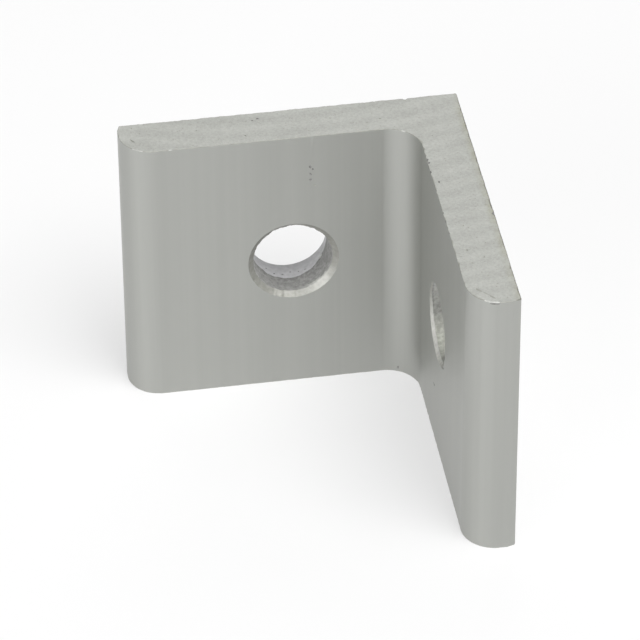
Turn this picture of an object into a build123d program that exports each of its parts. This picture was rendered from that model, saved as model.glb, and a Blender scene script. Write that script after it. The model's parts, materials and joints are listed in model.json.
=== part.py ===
from build123d import *
import os

# Corner bracket for T-slot framing, sawn from extruded equal-leg aluminium angle. The outside of
# each leg lies on a rail, and one screw goes through each leg into a nut in the rail's slot.
#
# Millimetres. The extrusion runs along Z and the bracket stands on its lower sawn end. The two legs
# run towards -X and -Y from the heel, their outsides face +Y and +X, and the origin is under the
# middle of the block that the bracket just fits in.

# Section of the angle
leg_length = 28.0  # heel to toe, along the outside of either leg
leg_thickness = 4.0
fillet_radius = 2.8  # between the two inner faces
toe_inner_radius = 2.7  # the large round of a toe, on the screw's side
toe_outer_radius = 0.35  # the small round of a toe, on the rail's side
heel_radius = 0.15

# Saw cut
bracket_width = 25.0  # length of angle that is cut off

# Screw bores, one in each leg, half way between the sawn ends
bore_diameter = 6.6  # clearance for an M6 screw
bore_from_heel = 14.2  # outside of the other leg to the bore's axis
rim_chamfer = 0.5  # 45 degree break of the rim under the screw's head

# Where the faces stand
outside = leg_length / 2
inside = outside - leg_thickness
toe = outside - leg_length
bore_axis = outside - bore_from_heel
mid_width = bracket_width / 2


def angle_section():
    # The large round of a toe leaves a flat between it and the small one
    toe_round = min(toe_inner_radius, leg_thickness - 2 * toe_outer_radius)
    corners = [
        (outside, outside, heel_radius),
        (toe, outside, toe_outer_radius),
        (toe, inside, toe_round),
        (inside, inside, fillet_radius),
        (inside, toe, toe_round),
        (outside, toe, toe_outer_radius),
    ]
    section = make_face(Polyline([(x, y) for x, y, radius in corners], close=True))
    for x, y, radius in corners:
        corner = section.vertices().sort_by_distance((x, y, 0))[0]
        section = fillet(corner, radius)
    return section


def screw_bore():
    # Drilled down from the plane that it is placed on, through the leg and out at the rail's side
    return CounterSinkHole(
        radius=bore_diameter / 2,
        counter_sink_radius=bore_diameter / 2 + rim_chamfer,
        counter_sink_angle=90,
        depth=2 * leg_thickness,
    )


# Each plane lies on an inner face and looks out at the screw's head
screw_seats = [
    Plane(origin=(bore_axis, inside, mid_width), z_dir=(0, -1, 0)),
    Plane(origin=(inside, bore_axis, mid_width), z_dir=(-1, 0, 0)),
]

bracket = extrude(angle_section(), amount=bracket_width)
for seat in screw_seats:
    bracket -= seat * screw_bore()

os.makedirs("parts", exist_ok=True)
export_step(bracket, "parts/corner_bracket.step")
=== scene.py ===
import json
import math
import random
import bmesh
import bpy
from mathutils import Matrix, Vector, noise


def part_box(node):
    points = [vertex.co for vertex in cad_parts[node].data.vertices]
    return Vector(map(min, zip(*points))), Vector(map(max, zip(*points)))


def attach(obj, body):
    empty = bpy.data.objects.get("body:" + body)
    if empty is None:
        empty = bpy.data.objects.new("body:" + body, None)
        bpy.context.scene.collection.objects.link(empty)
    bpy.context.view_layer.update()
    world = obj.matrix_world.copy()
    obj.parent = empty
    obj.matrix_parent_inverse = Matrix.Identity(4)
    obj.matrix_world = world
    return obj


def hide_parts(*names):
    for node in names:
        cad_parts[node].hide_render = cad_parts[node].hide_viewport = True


# Corner bracket for slotted rail: one sawn length of extruded, anodised aluminium angle with a
# punched bore in each leg. Metres, in the CAD model's frame: the legs run to -X and -Y from the heel.

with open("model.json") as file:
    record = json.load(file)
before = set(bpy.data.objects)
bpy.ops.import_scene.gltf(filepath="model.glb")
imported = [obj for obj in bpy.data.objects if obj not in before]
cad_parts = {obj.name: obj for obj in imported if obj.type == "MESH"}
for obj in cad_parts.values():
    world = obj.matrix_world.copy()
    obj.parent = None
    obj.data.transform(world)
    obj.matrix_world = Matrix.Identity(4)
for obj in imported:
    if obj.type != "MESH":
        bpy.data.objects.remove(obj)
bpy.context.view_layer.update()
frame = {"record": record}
mm = 0.001
low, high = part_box("corner_bracket")
mounts = {m["name"]: m for m in frame["record"]["mounts"]}
print("stage: frame loaded, CAD box", [round(s / mm, 2) for s in high - low], "mm")


def linear(hexColour):
    # sRGB hex to the linear RGBA of a shader socket
    values = [int(hexColour[i:i + 2], 16) / 255 for i in (1, 3, 5)]
    return [v / 12.92 if v <= 0.04045 else ((v + 0.055) / 1.055) ** 2.4 for v in values] + [1.0]


def addNode(tree, kind, settings=None, values=None, links=None, stops=None):
    # settings are the node's own choices, values fill its sockets, links join other nodes to them, and
    # stops are a colour ramp's places and colours
    node = tree.nodes.new(kind)
    for name, value in (settings or {}).items():
        setattr(node, name, value)
    for i, (place, colour) in enumerate(stops or []):
        stop = node.color_ramp.elements[i] if i < 2 else node.color_ramp.elements.new(place)
        stop.position, stop.color = place, linear(colour)
    for name, value in (values or {}).items():
        node.inputs[name].default_value = value
    for name, source in (links or {}).items():
        tree.links.new(source, node.inputs[name])
    return node


def emptyMaterial(name):
    material = bpy.data.materials.new(name)
    material.use_nodes = True
    material.node_tree.nodes.clear()
    return material, material.node_tree


def perMetre(*sizesInMm):
    # the scale that makes one cell of a pattern this many millimetres across, one size or three
    scales = [1 / (size * mm) for size in sizesInMm]
    return scales[0] if len(scales) == 1 else scales


# The order of the bracket's materials in its mesh, as listed in materials further down
skin, sawn, rim, torn, sheared, cut, bare = range(7)

angleShape = {
    "legThickness": 4.0 * mm,
    "filletRadius": 2.8 * mm,
    "toeInnerRadius": 2.7 * mm,
    "toeFacet": (0.2 * mm, 0.65 * mm),   # the slope on a toe's outer corner: along the leg, then across it
    "toeFacetRadius": 0.1 * mm,
    "heelRadius": 0.15 * mm,
    "roundSegments": (28, 6),   # on the large rounds and on the small ones
    "sharpAngle": 38,           # degrees between two faces from which the edge between them shades sharp
    "rimStep": 0.15 * mm,       # spacing of the points along a sawn rim
    "rimBreak": 0.05 * mm,      # mean width of the break left along a sawn rim
    "rimLeast": 0.25,           # the narrowest that it gets, as a share of that
    "rimWander": 0.9,           # how far its width wanders, as a share of it
    "rimWaver": (0.45 * mm, 0.1575 * mm, 0.5),   # as waver takes it
    "outerRim": 1.8,            # how many times wider it is on the outer faces
    "outerRimFrom": 1.0 * mm,   # the toe's end, where that starts
    "innerRagged": 2.6,         # how many times more it wanders along leg_y's inner rim
    "rimReach": 0.2 * mm,       # how near to a face a point of the rim belongs to it
    # bare chips along the top rim: x, y, half length in mm, and how many times wider the break is
    "chips": [(-12.75, 10.4, 0.45, 0.9), (-10.12, 9.98, 0.12, 1.6), (8.83, 9.55, 0.2, 1.8),
              (10.0, -7.85, 0.16, 2.0), (11.72, -13.8, 0.6, 2.0)],
}


def waver(place, sizes):
    # noise about 0 at two sizes: the coarse one, the finer one, and the finer one's strength
    coarse, fine, strength = sizes
    return noise.noise(place / coarse) + strength * noise.noise(place / fine)


def roundUpright(bm, x, y, radius, segments):
    # rounds the upright edge that stands at x, y
    tiny = 0.001 * mm
    edges = [e for e in bm.edges if all(math.hypot(v.co.x - x, v.co.y - y) < tiny for v in e.verts)]
    bmesh.ops.bevel(bm, geom=edges, offset=radius, offset_type="OFFSET", segments=segments,
                    profile=0.5, affect="EDGES", clamp_overlap=False, material=-1)


def chipAt(shape, place):
    # the chip that covers this place on the top rim, if any
    if place.z < (low.z + high.z) / 2:
        return None
    for x, y, reach, wider in shape["chips"]:
        if math.hypot(place.x / mm - x, place.y / mm - y) < reach:
            return wider
    return None


def roughenRim(bm, strip, shape):
    # makes the break along a sawn rim wider and narrower; its outer rows slide on the faces beside it
    bm.normal_update()
    width, reach = shape["rimBreak"], shape["rimReach"]
    inside, toeEnd = high.x - shape["legThickness"], low.y + shape["toeInnerRadius"]
    moves = []
    for v in dict.fromkeys(v for f in strip for v in f.verts):
        end = high.z if v.co.z > (low.z + high.z) / 2 else low.z
        up = Vector((0, 0, 1 if end == high.z else -1))
        drop = abs(end - v.co.z)
        flat = Vector((v.normal.x, v.normal.y, 0)).normalized()
        onEnd, onSide = drop < 0.01 * width, drop > 0.99 * width
        inset = width if onEnd else 0 if onSide else drop
        corner = v.co + flat * inset + up * drop
        ragged = abs(corner.x - inside) < reach and toeEnd < corner.y < inside - reach
        wander = shape["rimWander"] * (shape["innerRagged"] if ragged else 1)
        factor = max(shape["rimLeast"], 1 + wander * waver(corner, shape["rimWaver"]))
        toeGap = min(corner.x - low.x, corner.y - low.y)
        outer = max(corner.x - high.x, corner.y - high.y) > -reach and toeGap > shape["outerRimFrom"]
        factor *= shape["outerRim"] if outer else 1
        factor *= chipAt(shape, corner) or 1
        moves.append((v, corner + (v.co - corner) * factor))
    for v, place in moves:
        v.co = place
    for f in strip:
        if chipAt(shape, f.calc_center_median()):
            f.material_index = bare


def makeAngle(shape):
    # the section as corners, raised to the bracket's width and rounded, its sawn rims broken last
    bm = bmesh.new()
    inside = high.x - shape["legThickness"]
    along, across = shape["toeFacet"]
    corners = [(high.x, high.y), (low.x + along, high.y), (low.x, high.y - across), (low.x, inside),
               (inside, inside), (inside, low.y), (high.x - across, low.y), (high.x, low.y + along)]
    section = bm.faces.new([bm.verts.new((x, y, low.z)) for x, y in corners])
    grown = bmesh.ops.extrude_face_region(bm, geom=[section])
    topVerts = [g for g in grown["geom"] if isinstance(g, bmesh.types.BMVert)]
    bmesh.ops.translate(bm, verts=topVerts, vec=(0, 0, high.z - low.z))
    bmesh.ops.recalc_face_normals(bm, faces=bm.faces)
    many, few = shape["roundSegments"]
    heel, facet = (shape["heelRadius"], few), (shape["toeFacetRadius"], few)
    toe, fillet = (shape["toeInnerRadius"], many), (shape["filletRadius"], many)
    rounds = [heel, facet, facet, toe, fillet, toe, facet, facet]
    for (x, y), (radius, segments) in zip(corners, rounds):
        roundUpright(bm, x, y, radius, segments)
    ends = [f for f in bm.faces if abs(f.normal.z) > 0.5]
    for f in ends:
        f.material_index = sawn
    # dict.fromkeys drops repeats and, unlike a set, keeps an order that is the same on every run
    for e in dict.fromkeys(e for f in ends for e in f.edges):
        pieces = round(e.calc_length() / shape["rimStep"])
        if pieces > 1:
            bmesh.ops.bisect_edges(bm, edges=[e], cuts=pieces - 1)
    rimEdges = list(dict.fromkeys(e for f in ends for e in f.edges))
    strip = bmesh.ops.bevel(bm, geom=rimEdges, offset=shape["rimBreak"], offset_type="OFFSET", segments=2,
                            profile=0.5, affect="EDGES", clamp_overlap=False, material=rim)["faces"]
    roughenRim(bm, strip, shape)
    return bm


boreShape = {
    "radius": mounts["bore_leg_x"]["dims"]["r_mm"] * mm,
    "segments": 240,
    "wallRows": 15,                # in each of the torn and the sheared band
    "entryRound": 0.1 * mm,        # where the punch went in and drew the edge with it
    "entrySteps": 5,
    "rimWaver": (0.45 * mm, 0.15 * mm, 0.7),    # of the rim cut's lower edge, as waver takes it
    "bandWaver": (0.5 * mm, 0.16 * mm, 0.5),    # of the edge between the two bands
    "bandStray": 0.13 * mm,        # how far that edge strays
    "shearedLeast": 0.4 * mm,      # the sheared band is never narrower than about this
    "tornRelief": 0.03 * mm,       # height of the grain on the torn wall
    "tornGrain": (0.2 * mm, 0.2 * mm / 2.3, 0.6),
    "tornExtra": 0.03 * mm,        # the torn wall stands back from the sheared one by this much
    "tornStart": 0.15,             # share of that relief and extra right at the rim
    "tornRise": 6,                 # how fast the share grows to 1 down the band
    "paintedSheenTo": 1.4,            # how far out the painted highlight shows, in bore radii
}

# Each bore as the punch left it, in the inner face's own directions: across to the right, then up,
# as seen from inside the corner. Angles are in degrees from across. The painted sheen is a painted
# highlight, a paler colour where light catches the rim cut and the wall: its middle angle, how sharply
# it falls away to the sides, its strength, how deep it reaches, and its least on the wall.
bores = {
    "bore_leg_x": {"drift": (0.02 * mm, -0.02 * mm), "rimCut": 0.475 * mm, "rimCutLean": (0.08 * mm, 90),
                   "ragged": 0.1 * mm, "tornLeast": 2.12 * mm, "tornMore": 1.4 * mm, "tornLeastAt": -97,
                   "paintedSheen": (-49, 14, 0.45, 0.7 * mm, 0)},
    "bore_leg_y": {"drift": (-0.08 * mm, 0.05 * mm), "rimCut": 0.18 * mm, "rimCutLean": (0.1 * mm, 262),
                   "ragged": 0.03 * mm, "tornLeast": 2.3 * mm, "tornMore": 1.1 * mm, "tornLeastAt": -140,
                   "paintedSheen": (250, 2, 0.95, 1.6 * mm, 0.36)},
}


def makeBoreCutter(shape, bore):
    # a turned plug whose mouth, at z = 0, is where the punch came out
    radius, thickness = shape["radius"], angleShape["legThickness"]
    rimCut, entry, rows = bore["rimCut"], shape["entryRound"], shape["wallRows"]
    wallEnd = thickness - entry
    lip, overshoot = 0.02 * mm, 1.0 * mm
    profile = [(0, overshoot), (radius + rimCut + overshoot, overshoot), (radius + rimCut + lip, lip)]
    profile += [(radius, -rimCut - (wallEnd - rimCut) * i / (2 * rows)) for i in range(2 * rows + 1)]
    for i in range(1, shape["entrySteps"] + 1):
        turn = math.radians(90 * i / shape["entrySteps"])
        profile.append((radius + entry * (1 - math.cos(turn)), -thickness + entry * (1 - math.sin(turn))))
    wide, below = radius + entry + overshoot, -thickness - overshoot
    profile += [(wide, -thickness), (wide, below), (0, below)]
    bm = bmesh.new()
    verts = [bm.verts.new((r, 0, z)) for r, z in profile]
    edges = [bm.edges.new(pair) for pair in zip(verts, verts[1:])]
    bmesh.ops.spin(bm, geom=verts + edges, cent=(0, 0, 0), axis=(0, 0, 1), angle=math.tau,
                   steps=shape["segments"], use_merge=True)
    bmesh.ops.remove_doubles(bm, verts=bm.verts, dist=0.0005 * mm)
    bmesh.ops.recalc_face_normals(bm, faces=bm.faces)
    halfway = (rimCut + wallEnd) / 2
    for f in bm.faces:
        depth = -f.calc_center_median().z
        f.material_index = cut if depth < rimCut else torn if depth < halfway else sheared
    leanBy, leanTo = bore["rimCutLean"]
    for v in bm.verts:
        r, turn, depth = math.hypot(v.co.x, v.co.y), math.atan2(v.co.y, v.co.x), -v.co.z
        if r < radius / 2 or depth > wallEnd + 0.001 * mm:
            continue
        around = Vector((math.cos(turn), math.sin(turn), 0))
        ring = around * radius
        widen = leanBy * math.cos(turn - math.radians(leanTo))
        if depth < 0:
            v.co += around * widen
            continue
        # the wall's rows share out anew between the broken edge of the rim cut, the torn band's end
        # and the start of the entry round
        away = 1 - math.cos(turn - math.radians(bore["tornLeastAt"]))
        tornEnd = min(bore["tornLeast"] + bore["tornMore"] * away, wallEnd - shape["shearedLeast"])
        tornEnd += shape["bandStray"] * waver(ring, shape["bandWaver"])
        start = rimCut + widen + bore["ragged"] * waver(ring, shape["rimWaver"])
        down = (depth - rimCut) / (halfway - rimCut)
        if down < 0.99:
            v.co.z = -(start + (tornEnd - start) * down)
            grain = waver(ring + Vector((0, 0, v.co.z)), shape["tornGrain"])
            share = min(1, shape["tornStart"] + shape["tornRise"] * down)
            v.co += around * share * (shape["tornExtra"] + shape["tornRelief"] * grain)
        else:
            v.co.z = -(tornEnd + (wallEnd - tornEnd) * (depth - halfway) / (wallEnd - halfway))
    bmesh.ops.translate(bm, verts=bm.verts, vec=(*bore["drift"], 0))
    return bm


def faceFrame(out):
    # a face's own directions: across to the right and up, as seen from outside it, and out of it
    up = Vector((0, 0, 1)) if abs(out.z) < 0.8 else Vector((0, 1, 0))
    across = up.cross(out).normalized()
    return Matrix((across, out.cross(across), out)).transposed()


def placeOnLeg(bm, mount):
    # puts the cutter's mouth on the inner face, with its axis along the mount's
    out = Vector(mount["axis"])
    seat = Vector(mount["pos_m"]) + out * angleShape["legThickness"]
    bmesh.ops.transform(bm, matrix=Matrix.Translation(seat) @ faceFrame(out).to_4x4(), verts=bm.verts)


def onWall(name, angle, depth):
    # the way that a bore's wall faces at a place on it, then the place in mm
    turn, seat = math.radians(angle), Vector(mounts[name]["pos_m"])
    across, up, out = faceFrame(Vector(mounts[name]["axis"])).transposed()
    around = across * math.cos(turn) + up * math.sin(turn)
    drift = across * bores[name]["drift"][0] + up * bores[name]["drift"][1]
    place = seat + out * (angleShape["legThickness"] - depth * mm) + drift + around * boreShape["radius"]
    return (-around, *(place / mm))


top, legX, legY, under = Vector((0, 0, 1)), Vector((0, -1, 0)), Vector((-1, 0, 0)), Vector((0, 0, -1))

dentShape = {
    "sphereSteps": 2,
    "uneven": 0.25,            # share of its size by which a dent strays from an even bowl
    "lumps": 1.7,              # how closely it does so
    "scatter": 900,            # makes each dent's lumps unlike the next one's
    "pitsPerEnd": 24,          # small pits strewn over each sawn end
    "pitSizes": (0.07, 0.15),  # mm
    "pitSkew": 3,              # the higher, the more of them are small
    "pitStretch": 1.7,         # the longest, in widths
    "pitDepth": 0.35,          # share of the size
    "pitGap": 0.35,            # mm between two of them, and more beside a wide one
    "pitGapShare": 0.6,        # that much more, as a share of its width
    "pitMargin": 0.3 * mm,     # from the edges
    "pitToeGap": 1.6 * mm,     # more from a toe's end
    "seed": 11,
}

# The marks that stand out, listed by the finish that they show: face, x, y, z, then length, width and
# depth, all in mm, and the turn in degrees about the face's normal. On the bores' walls, length is
# across the punch's travel and width along it. Two marks that touch spoil the cut.
toeFront = Vector((-0.29, -0.96, 0)).normalized()   # out of leg_y's inner toe round, near the toe's end
marks = {
    # these dents take the rim's darker grey, painted shade in them
    rim: [
        (top, -12.97, 11.73, 25, 0.6, 0.17, 0.06, -61), (top, -3.55, 12.93, 25, 0.2, 0.12, 0.04, 0),
        (top, 3.26, 12.23, 25, 0.14, 0.24, 0.04, 10), (top, 7.26, 11.51, 25, 0.22, 0.14, 0.05, 20),
        (top, 6.13, 11.16, 25, 0.16, 0.12, 0.04, 0), (top, -6.09, 10.8, 25, 0.12, 0.16, 0.03, 0),
        (top, -9.3, 11.15, 25, 0.14, 0.14, 0.05, 0), (top, -7.67, 12.3, 25, 0.2, 0.1, 0.04, 30),
        (top, 11.27, -3.84, 25, 0.14, 0.16, 0.04, 0), (top, 10.96, -6.99, 25, 0.26, 0.2, 0.09, -30),
        (top, 11.07, -8.7, 25, 0.2, 0.18, 0.08, 0), (top, 12.15, -8.08, 25, 0.26, 0.12, 0.06, 60),
        (top, 13.35, -9.71, 25, 0.16, 0.12, 0.03, 0), (top, 11.95, -10.48, 25, 0.2, 0.14, 0.04, 0),
        (top, 10.96, -12.17, 25, 0.65, 0.24, 0.018, -50), (top, 11.43, -12.68, 25, 0.6, 0.14, 0.012, -46),
        (top, 11.85, -13.2, 25, 0.6, 0.2, 0.014, -50), (legX, 1.62, 10, 20.08, 0.2, 0.14, 0.03, 0),
        (top, 7.18, 14.0, 25, 0.26, 0.16, 0.07, 0), (top, -11.4, 9.98, 25, 0.3, 0.1, 0.06, 0),
    ],
    torn: [
        (top, -3.03, 12.94, 25, 0.22, 0.15, 0.07, 10), (top, -2.58, 13.13, 25, 0.28, 0.17, 0.09, 25),
        (top, 10.43, 2.19, 25, 0.12, 0.28, 0.08, 0), (top, 10.04, 5.3, 25, 0.22, 0.3, 0.16, 0),
        (top, 10.04, 4.85, 25, 0.3, 0.3, 0.16, 0), (top, 10.0, 3.58, 25, 0.18, 0.34, 0.14, 0),
        (top, 10.0, 1.1, 25, 0.1, 0.4, 0.12, 0), (top, 10.0, -1.95, 25, 0.14, 0.3, 0.12, 0),
        (top, 10.0, -3.1, 25, 0.12, 0.6, 0.14, 0), (top, 10.0, -4.6, 25, 0.1, 0.4, 0.1, 0),
        (top, 13.94, -2.65, 25, 0.3, 0.4, 0.14, 0), (under, -14.0, 13.4, 0, 0.3, 0.5, 0.2, 0),
        (toeFront, 11.88, -13.87, 24.83, 0.95, 0.13, 0.06, 4),
        (top, 9.74, 14.0, 25, 0.42, 0.44, 0.24, 0),
        (legX, 1.26, 10, 21.95, 0.22, 0.28, 0.07, 0), (legX, 1.46, 10, 21.7, 0.16, 0.2, 0.035, 0),
        (legX, 1.28, 10, 21.24, 0.16, 0.3, 0.035, 25), (legX, 1.28, 10, 20.66, 0.24, 0.24, 0.04, 0),
        (legY, 10, 1.02, 5.32, 0.5, 0.2, 0.06, 0),
        (legY, 10, -2.65, 10.1, 1.9, 0.55, 0.1, 37), (legX, 8.54, 9.68, 0.45, 0.12, 0.3, 0.06, 0),
        (legX, 8.83, 9.55, 3.68, 0.16, 0.24, 0.05, 0),
        (*onWall("bore_leg_x", -113, 2.56), 0.16, 0.14, 0.06, 0),
        (*onWall("bore_leg_x", -88, 2.9), 0.16, 0.12, 0.05, 0),
        (*onWall("bore_leg_x", -42, 2.59), 0.14, 0.16, 0.06, 0),
        (*onWall("bore_leg_x", -55, 1.98), 0.16, 0.16, 0.06, 0),
        (*onWall("bore_leg_x", -112, 1.4), 0.2, 0.16, 0.06, 0),
        (*onWall("bore_leg_x", -100, 2.62), 0.2, 0.1, 0.04, 0),
        (*onWall("bore_leg_x", -76, 2.75), 0.14, 0.1, 0.04, 0),
        (*onWall("bore_leg_x", -66, 2.7), 0.16, 0.1, 0.04, 0),
        (*onWall("bore_leg_x", -125, 2.95), 0.16, 0.1, 0.04, 0),
        (*onWall("bore_leg_y", 213, 0.75), 0.14, 0.16, 0.06, 0),
        (*onWall("bore_leg_y", 228, 0.6), 0.16, 0.14, 0.06, 0),
    ],
    bare: [
        (*onWall("bore_leg_x", -37, 2.85), 0.22, 0.5, 0.06, 10),
        (*onWall("bore_leg_x", -34, 3.3), 0.16, 0.3, 0.05, -20),
    ],
}


def addDent(bm, shape, face, place, length, width, depth, turn, finish):
    # an uneven flattened ball, its middle on the surface, to be cut away
    made = bmesh.ops.create_icosphere(bm, subdivisions=shape["sphereSteps"], radius=1)["verts"]
    for v in made:
        v.co *= 1 + shape["uneven"] * noise.noise(v.co * shape["lumps"] + place * shape["scatter"])
    size = Matrix.Diagonal((length / 2, width / 2, depth, 1))
    turned = faceFrame(face).to_4x4() @ Matrix.Rotation(math.radians(turn), 4, "Z")
    bmesh.ops.transform(bm, matrix=Matrix.Translation(place) @ turned @ size, verts=made)
    for v in made:
        for f in v.link_faces:
            f.material_index = finish


def makeDentCutter(shape, marks):
    # all the marks, and small pits in free places on both sawn ends; no two of them may touch
    bm = bmesh.new()
    taken = []
    for finish, listed in marks.items():
        for face, x, y, z, length, width, depth, turn in listed:
            place = Vector((x, y, z)) * mm
            addDent(bm, shape, face, place, length * mm, width * mm, depth * mm, turn, finish)
            taken.append((place, max(length, width)))
    rng = random.Random(shape["seed"])
    inside = high.x - angleShape["legThickness"]
    least, most = shape["pitSizes"]
    gap, share = shape["pitGap"], shape["pitGapShare"]
    margin, toeMargin = shape["pitMargin"], shape["pitToeGap"]
    for face, z in ((top, high.z), (under, low.z)):
        made = 0
        while made < shape["pitsPerEnd"]:
            place = Vector((rng.uniform(low.x, high.x), rng.uniform(low.y, high.y), z))
            size = least + (most - least) * rng.random() ** shape["pitSkew"]
            x, y = max(place.x, place.y), min(place.x, place.y)
            toeGap = toeMargin if x < inside + toeMargin else 0
            onFace = inside + margin < x < high.x - margin and low.y + margin + toeGap < y < high.y - margin
            apart = all((place - other).length > (gap + share * wide) * mm for other, wide in taken)
            if onFace and apart:
                stretch = rng.uniform(1, shape["pitStretch"])
                # the pits take the rim's darker grey, painted shade in them
                addDent(bm, shape, face, place, size * stretch * mm, size * mm,
                        size * shape["pitDepth"] * mm, rng.uniform(0, 180), rim)
                taken.append((place, size))
                made += 1
    return bm


def meshObject(name, bm, materials):
    mesh = bpy.data.meshes.new(name)
    bm.to_mesh(mesh)
    bm.free()
    for material in materials:
        mesh.materials.append(material)
    made = bpy.data.objects.new(name, mesh)
    bpy.context.scene.collection.objects.link(made)
    return made


def drill(body, cutter):
    # takes the cutter out of the body for good, and keeps each face's material
    modifier = body.modifiers.new("drill", "BOOLEAN")
    modifier.operation, modifier.solver, modifier.object = "DIFFERENCE", "EXACT", cutter
    bpy.context.view_layer.update()
    drilled = bpy.data.meshes.new_from_object(body.evaluated_get(bpy.context.evaluated_depsgraph_get()))
    body.modifiers.clear()
    old, body.data = body.data, drilled
    bpy.data.meshes.remove(old)
    bpy.data.meshes.remove(cutter.data)


def paintHighlightOnRims(mesh):
    # how much painted highlight each place around a bore gets, a paler colour standing in for light on
    # the rim cut and the wall, kept on the mesh for its materials
    paintedSheen = mesh.attributes.new("paintedSheen", "FLOAT", "POINT")
    for name, bore in bores.items():
        at, sharpness, strength, reach, least = bore["paintedSheen"]
        wallFrom = bore["rimCut"] + bore["rimCutLean"][0] + bore["ragged"]
        seat, axes = Vector(mounts[name]["pos_m"]), faceFrame(Vector(mounts[name]["axis"])).transposed()
        widest, above = boreShape["paintedSheenTo"] * boreShape["radius"], -0.1 * mm
        for v in mesh.vertices:
            away = axes @ (v.co - seat)
            depth = angleShape["legThickness"] - away.z
            if math.hypot(away.x, away.y) < widest and above < depth < reach:
                along = max(0, math.cos(math.atan2(away.y, away.x) - math.radians(at)))
                onWallLeast = least if depth > wallFrom else 0
                paintedSheen.data[v.index].value = max(strength * along ** sharpness, onWallLeast)


def markSharp(mesh, angle):
    # smooth everywhere but across steep edges and around the bores' cut rims and the sawn ends
    bm = bmesh.new()
    bm.from_mesh(mesh)
    for f in bm.faces:
        f.smooth = True
    for e in bm.edges:
        kinds = {f.material_index for f in e.link_faces}
        e.smooth = e.calc_face_angle(0) < angle and not (len(kinds) > 1 and kinds & {cut, sawn})
    bm.to_mesh(mesh)
    bm.free()


def anodisedAluminium():
    # die-drawn, etched and clear anodised: an even satin grey with faint lines along the extrusion
    material, tree = emptyMaterial("anodised aluminium")
    where = addNode(tree, "ShaderNodeTexCoord").outputs["Object"]
    drawn = addNode(tree, "ShaderNodeMapping", values={"Scale": perMetre(0.35, 0.35, 60)},
                    links={"Vector": where})
    lines = addNode(tree, "ShaderNodeTexNoise", values={"Scale": 1.0, "Detail": 2.0, "Roughness": 0.6},
                    links={"Vector": drawn.outputs[0]})
    broad = addNode(tree, "ShaderNodeMapping", values={"Scale": perMetre(2.2, 2.2, 90)},
                    links={"Vector": where})
    bands = addNode(tree, "ShaderNodeTexNoise", values={"Scale": 1.0, "Detail": 1.0},
                    links={"Vector": broad.outputs[0]})
    grain = addNode(tree, "ShaderNodeTexNoise", values={"Scale": perMetre(0.16), "Detail": 2.0},
                    links={"Vector": where})
    both = addNode(tree, "ShaderNodeMix", settings={"data_type": "FLOAT"}, values={"Factor": 0.45},
                   links={"A": lines.outputs["Fac"], "B": bands.outputs["Fac"]})
    tint = addNode(tree, "ShaderNodeValToRGB", links={"Fac": both.outputs[0]},
                   stops=[(0.3, "#AAABA7"), (0.7, "#B0B1AD")])
    gloss = addNode(tree, "ShaderNodeMapRange", links={"Value": lines.outputs["Fac"]},
                    values={"From Min": 0.3, "From Max": 0.7, "To Min": 0.48, "To Max": 0.52})
    heights = addNode(tree, "ShaderNodeMix", settings={"data_type": "FLOAT"}, values={"Factor": 0.5},
                      links={"A": lines.outputs["Fac"], "B": grain.outputs["Fac"]})
    bump = addNode(tree, "ShaderNodeBump", values={"Strength": 0.12, "Distance": 0.02 * mm},
                   links={"Height": heights.outputs[0]})
    shader = addNode(tree, "ShaderNodeBsdfPrincipled", values={"Metallic": 1.0},
                     links={"Base Color": tint.outputs[0], "Roughness": gloss.outputs[0],
                            "Normal": bump.outputs[0]})
    addNode(tree, "ShaderNodeOutputMaterial", links={"Surface": shader.outputs[0]})
    return material


def addStain(tree, where):
    # oil and swarf burnt on along the outer rim of leg_y: 0 to 1, in patches
    x = addNode(tree, "ShaderNodeSeparateXYZ", links={"Vector": where}).outputs["X"]
    reach = 0.7 * mm
    nearness = addNode(tree, "ShaderNodeMapRange", values={"From Min": high.x - reach, "From Max": high.x},
                       links={"Value": x}).outputs[0]
    patches = addNode(tree, "ShaderNodeTexNoise", links={"Vector": where},
                      values={"Scale": perMetre(3.5), "Detail": 4.0, "Roughness": 0.75}).outputs["Fac"]
    amount = addNode(tree, "ShaderNodeMapRange", values={"From Min": 0.35, "From Max": 0.65},
                     links={"Value": patches})
    return addNode(tree, "ShaderNodeMath", settings={"operation": "MULTIPLY"},
                   links={0: nearness, 1: amount.outputs[0]}).outputs[0]


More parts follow.
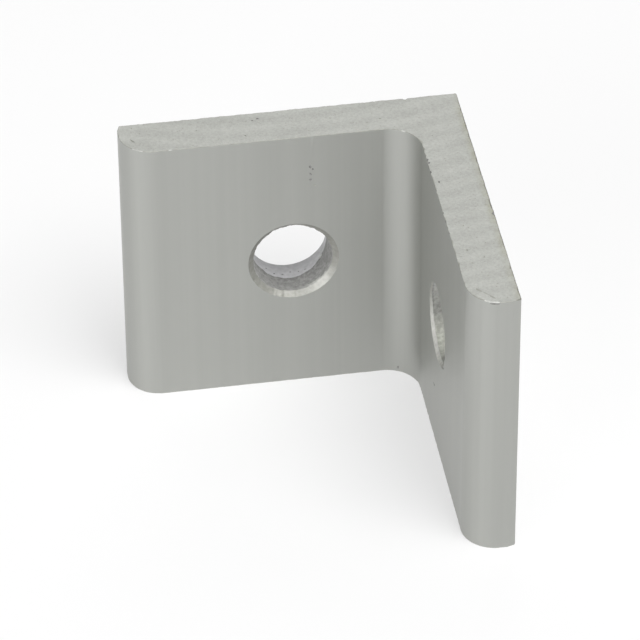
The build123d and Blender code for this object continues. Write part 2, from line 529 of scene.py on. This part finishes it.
def sawnAluminium():
    # cut by a fine saw, etched and anodised after: a paler, mottled grey, nearly matt, with faint specks
    # and saw arcs
    material, tree = emptyMaterial("sawn aluminium")
    where = addNode(tree, "ShaderNodeTexCoord").outputs["Object"]
    # real etch grain is nearer 0.05 mm, too fine to show
    mottle = addNode(tree, "ShaderNodeTexNoise", links={"Vector": where},
                     values={"Scale": perMetre(0.22), "Detail": 3.0, "Roughness": 0.7})
    patches = addNode(tree, "ShaderNodeTexNoise", values={"Scale": perMetre(2.5), "Detail": 2.0},
                      links={"Vector": where})
    bladeAxis = 60 * mm   # it stood this far behind the bracket's middle
    ringsPerScale = 20    # the wave texture's own factor between its scale and its rings
    swung = addNode(tree, "ShaderNodeMapping", values={"Location": (0, -bladeAxis, 0)},
                    links={"Vector": where})
    arcs = addNode(tree, "ShaderNodeTexWave", settings={"wave_type": "RINGS", "rings_direction": "Z"},
                   values={"Scale": perMetre(0.3) / ringsPerScale, "Distortion": 3.0, "Detail": 2.0,
                           "Detail Scale": 0.6},
                   links={"Vector": swung.outputs[0]})
    both = addNode(tree, "ShaderNodeMix", settings={"data_type": "FLOAT"}, values={"Factor": 0.22},
                   links={"A": mottle.outputs["Fac"], "B": patches.outputs["Fac"]})
    lined = addNode(tree, "ShaderNodeMix", settings={"data_type": "FLOAT"}, values={"Factor": 0.1},
                    links={"A": both.outputs[0], "B": arcs.outputs["Fac"]})
    tint = addNode(tree, "ShaderNodeValToRGB", links={"Fac": lined.outputs[0]},
                   stops=[(0.32, "#9FA09B"), (0.68, "#B4B5B0")])
    specks = addNode(tree, "ShaderNodeTexNoise", values={"Scale": perMetre(0.16), "Detail": 1.0},
                     links={"Vector": where})
    dark = addNode(tree, "ShaderNodeMapRange", values={"From Min": 0.65, "From Max": 0.75, "To Max": 0.5},
                   links={"Value": specks.outputs["Fac"]})
    specked = addNode(tree, "ShaderNodeMix", settings={"data_type": "RGBA"}, values={7: linear("#8B8B82")},
                      links={0: dark.outputs[0], 6: tint.outputs[0]})
    faint = addNode(tree, "ShaderNodeMath", settings={"operation": "MULTIPLY"}, values={1: 0.5},
                    links={0: addStain(tree, where)})
    stained = addNode(tree, "ShaderNodeMix", settings={"data_type": "RGBA"}, values={7: linear("#8A8866")},
                      links={0: faint.outputs[0], 6: specked.outputs[2]})
    bump = addNode(tree, "ShaderNodeBump", values={"Strength": 0.2, "Distance": 0.02 * mm},
                   links={"Height": lined.outputs[0]})
    shader = addNode(tree, "ShaderNodeBsdfPrincipled", values={"Metallic": 0.35, "Roughness": 0.75},
                     links={"Base Color": stained.outputs[2], "Normal": bump.outputs[0]})
    addNode(tree, "ShaderNodeOutputMaterial", links={"Surface": shader.outputs[0]})
    return material


def brokenRim():
    # the narrow break along a sawn edge and the small pits: etched and anodised with the rest, so soft
    # to the light, and stained where the sawn face beside it is. Its grey is a little darker than the faces
    # beside it: painted shade along the edges and in the pits
    material, tree = emptyMaterial("anodised rim")
    where = addNode(tree, "ShaderNodeTexCoord").outputs["Object"]
    patches = addNode(tree, "ShaderNodeTexNoise", values={"Scale": perMetre(0.5), "Detail": 2.0},
                      links={"Vector": where})
    # a grey darker than the sawn and anodised faces: painted shade along the edges and in the pits
    tint = addNode(tree, "ShaderNodeValToRGB", links={"Fac": patches.outputs["Fac"]},
                   stops=[(0.35, "#94958E"), (0.65, "#A5A69F")])
    stained = addNode(tree, "ShaderNodeMix", settings={"data_type": "RGBA"}, values={7: linear("#403D2D")},
                      links={0: addStain(tree, where), 6: tint.outputs[0]})
    shader = addNode(tree, "ShaderNodeBsdfPrincipled", values={"Metallic": 0.35, "Roughness": 0.7},
                     links={"Base Color": stained.outputs[2]})
    addNode(tree, "ShaderNodeOutputMaterial", links={"Surface": shader.outputs[0]})
    return material


def tornAluminium():
    # broken off under the punch: rough and matt, with light and dark grains, and almost white where a
    # highlight is painted on
    material, tree = emptyMaterial("torn aluminium")
    where = addNode(tree, "ShaderNodeTexCoord").outputs["Object"]
    paintedSheen = addNode(tree, "ShaderNodeAttribute", settings={"attribute_name": "paintedSheen"}).outputs["Fac"]
    grains = addNode(tree, "ShaderNodeTexNoise", links={"Vector": where},
                     values={"Scale": perMetre(0.3), "Detail": 3.0, "Roughness": 0.6})
    tint = addNode(tree, "ShaderNodeValToRGB", links={"Fac": grains.outputs["Fac"]},
                   stops=[(0.3, "#9D9D9B"), (0.7, "#BABAB8")])
    # a near-white tint for the painted highlight where light catches the wall
    highlightTint = addNode(tree, "ShaderNodeValToRGB", links={"Fac": grains.outputs["Fac"]},
                     stops=[(0.3, "#E2E3DC"), (0.7, "#FAFBF6")])
    both = addNode(tree, "ShaderNodeMix", settings={"data_type": "RGBA"},
                   links={0: paintedSheen, 6: tint.outputs[0], 7: highlightTint.outputs[0]})
    bump = addNode(tree, "ShaderNodeBump", values={"Strength": 0.3, "Distance": 0.04 * mm},
                   links={"Height": grains.outputs["Fac"]})
    shader = addNode(tree, "ShaderNodeBsdfPrincipled", values={"Metallic": 1.0, "Roughness": 1.0},
                     links={"Base Color": both.outputs[2], "Normal": bump.outputs[0]})
    addNode(tree, "ShaderNodeOutputMaterial", links={"Surface": shader.outputs[0]})
    return material


def shearedAluminium():
    # wiped smooth by the side of the punch: paler and more even than the torn band, with a broad dull sheen
    material, tree = emptyMaterial("sheared aluminium")
    where = addNode(tree, "ShaderNodeTexCoord").outputs["Object"]
    grains = addNode(tree, "ShaderNodeTexNoise", values={"Scale": perMetre(0.35), "Detail": 2.0},
                     links={"Vector": where})
    tint = addNode(tree, "ShaderNodeValToRGB", links={"Fac": grains.outputs["Fac"]},
                   stops=[(0.3, "#C9C9CA"), (0.7, "#D5D5D6")])
    shader = addNode(tree, "ShaderNodeBsdfPrincipled", values={"Metallic": 1.0, "Roughness": 0.9},
                     links={"Base Color": tint.outputs[0]})
    addNode(tree, "ShaderNodeOutputMaterial", links={"Surface": shader.outputs[0]})
    return material


def cutAluminium():
    # turned by the countersink, then etched and anodised: smoother than the walls, soft to the light, and
    # paler where a highlight is painted on
    material, tree = emptyMaterial("countersunk aluminium")
    where = addNode(tree, "ShaderNodeTexCoord").outputs["Object"]
    paintedSheen = addNode(tree, "ShaderNodeAttribute", settings={"attribute_name": "paintedSheen"}).outputs["Fac"]
    grains = addNode(tree, "ShaderNodeTexNoise", values={"Scale": perMetre(0.3), "Detail": 2.0},
                     links={"Vector": where})
    tint = addNode(tree, "ShaderNodeValToRGB", links={"Fac": grains.outputs["Fac"]},
                   stops=[(0.3, "#8F8F89"), (0.7, "#9B9B96")])
    # a pale tint for the painted highlight where light catches the rim cut
    highlightTint = addNode(tree, "ShaderNodeValToRGB", links={"Fac": grains.outputs["Fac"]},
                     stops=[(0.3, "#D3D3CE"), (0.7, "#E7E7E2")])
    both = addNode(tree, "ShaderNodeMix", settings={"data_type": "RGBA"},
                   links={0: paintedSheen, 6: tint.outputs[0], 7: highlightTint.outputs[0]})
    shader = addNode(tree, "ShaderNodeBsdfPrincipled", values={"Metallic": 0.55, "Roughness": 0.6},
                     links={"Base Color": both.outputs[2]})
    addNode(tree, "ShaderNodeOutputMaterial", links={"Surface": shader.outputs[0]})
    return material


def bareAluminium():
    # scraped since it was anodised: the brightest metal on the part, in small chips only
    material, tree = emptyMaterial("bare aluminium")
    where = addNode(tree, "ShaderNodeTexCoord").outputs["Object"]
    grains = addNode(tree, "ShaderNodeTexNoise", values={"Scale": perMetre(0.2), "Detail": 2.0},
                     links={"Vector": where})
    tint = addNode(tree, "ShaderNodeValToRGB", links={"Fac": grains.outputs["Fac"]},
                   stops=[(0.3, "#BEBFBB"), (0.7, "#D2D3CF")])
    shader = addNode(tree, "ShaderNodeBsdfPrincipled", values={"Metallic": 1.0, "Roughness": 0.6},
                     links={"Base Color": tint.outputs[0]})
    addNode(tree, "ShaderNodeOutputMaterial", links={"Surface": shader.outputs[0]})
    return material


materials = [anodisedAluminium(), sawnAluminium(), brokenRim(), tornAluminium(), shearedAluminium(),
             cutAluminium(), bareAluminium()]
print("stage: finishes", [material.name for material in materials])
bracket = meshObject("cornerBracket", makeAngle(angleShape), materials)
print("stage: angle", len(bracket.data.polygons), "faces")
for name, bore in bores.items():
    cutterMesh = makeBoreCutter(boreShape, bore)
    placeOnLeg(cutterMesh, mounts[name])
    drill(bracket, meshObject("cutter", cutterMesh, materials))
    print("stage: drilled", name, len(bracket.data.polygons), "faces")
drill(bracket, meshObject("cutter", makeDentCutter(dentShape, marks), materials))
print("stage: dented", len(bracket.data.polygons), "faces")

markSharp(bracket.data, math.radians(angleShape["sharpAngle"]))
paintHighlightOnRims(bracket.data)
weighted = bracket.modifiers.new("flat faces stay flat", "WEIGHTED_NORMAL")
weighted.keep_sharp = True
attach(bracket, "root")
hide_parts("corner_bracket")
print("stage: bracket dressed", len(bracket.data.vertices), "vertices")

# The studio: azimuth 0 is in front of leg_x's inner face and grows to the right
studio = {
    "floorSize": 3.0,
    "floorColour": (0.3, 0.3, 0.3, 1),
    "floorGlow": 0.6,           # what the bright room beyond the lamps adds to the floor
    "horizon": 1.0,             # the room's brightness at the horizon
    "darkAbove": 0.6,           # height, as the sine of the elevation, where the room is dark
    "lampSize": 0.7,
    "lampDistance": 1.0,
    "lampAim": Vector((0, 0, 10)) * mm,
    # azimuth, elevation, watts
    "lamps": {"keyLamp": (-45, 13, 5.97), "highLamp": (35, 60, 13.05), "backLamp": (180, 28, 3.14)},
}
view = {
    "aim": Vector((0.522, 0.688, 13.473)) * mm,
    "azimuth": -8.815,          # degrees, like the elevation and the roll
    "elevation": 38.119,
    "roll": -0.447,
    "distance": 370.306 * mm,
    "lens": 258.307,            # mm, on a sensor this wide
    "sensor": 36,
    "clipEnd": 10,
}


def lookAt(aim, azimuth, elevation, distance, roll=0):
    # stands off from the aim in that direction and looks back at it
    side, lift = math.radians(azimuth), math.radians(elevation)
    away = Vector((math.sin(side) * math.cos(lift), -math.cos(side) * math.cos(lift), math.sin(lift)))
    turn = away.to_track_quat("Z", "Y").to_matrix().to_4x4() @ Matrix.Rotation(math.radians(roll), 4, "Z")
    return Matrix.Translation(aim + away * distance) @ turn


bm = bmesh.new()
bmesh.ops.create_grid(bm, x_segments=1, y_segments=1, size=studio["floorSize"])
paper, tree = emptyMaterial("white paper")
diffuse = addNode(tree, "ShaderNodeBsdfDiffuse", values={"Color": studio["floorColour"]})
glow = addNode(tree, "ShaderNodeEmission", values={"Color": (1, 1, 1, 1), "Strength": studio["floorGlow"]})
both = addNode(tree, "ShaderNodeAddShader", links={0: diffuse.outputs[0], 1: glow.outputs[0]})
addNode(tree, "ShaderNodeOutputMaterial", links={"Surface": both.outputs[0]})
floor = meshObject("floor", bm, [paper])

world = bpy.data.worlds.new("studio")
bpy.context.scene.world = world
world.use_nodes = True
sky = world.node_tree
sky.nodes.clear()
direction = addNode(sky, "ShaderNodeTexCoord").outputs["Generated"]
height = addNode(sky, "ShaderNodeSeparateXYZ", links={"Vector": direction}).outputs["Z"]
fade = addNode(sky, "ShaderNodeMapRange", settings={"interpolation_type": "SMOOTHSTEP"},
               values={"From Min": 0.0, "From Max": studio["darkAbove"],
                       "To Min": studio["horizon"], "To Max": 0.0},
               links={"Value": height})
room = addNode(sky, "ShaderNodeBackground", values={"Color": (1, 1, 1, 1)},
               links={"Strength": fade.outputs[0]})
addNode(sky, "ShaderNodeOutputWorld", links={"Surface": room.outputs[0]})

for name, (azimuth, elevation, watts) in studio["lamps"].items():
    light = bpy.data.lights.new(name, "AREA")
    light.shape, light.size, light.energy = "SQUARE", studio["lampSize"], watts
    lamp = bpy.data.objects.new(name, light)
    lamp.matrix_world = lookAt(studio["lampAim"], azimuth, elevation, studio["lampDistance"])
    bpy.context.scene.collection.objects.link(lamp)
print("stage: studio lit by", len(studio["lamps"]), "lamps")

cameraData = bpy.data.cameras.new("camera")
cameraData.lens, cameraData.sensor_width = view["lens"], view["sensor"]
cameraData.clip_end = view["clipEnd"]
camera = bpy.data.objects.new("camera", cameraData)
camera.matrix_world = lookAt(view["aim"], view["azimuth"], view["elevation"], view["distance"], view["roll"])
bpy.context.scene.collection.objects.link(camera)
bpy.context.scene.camera = camera
bpy.context.scene.view_settings.view_transform = "Standard"
print("stage: camera set")
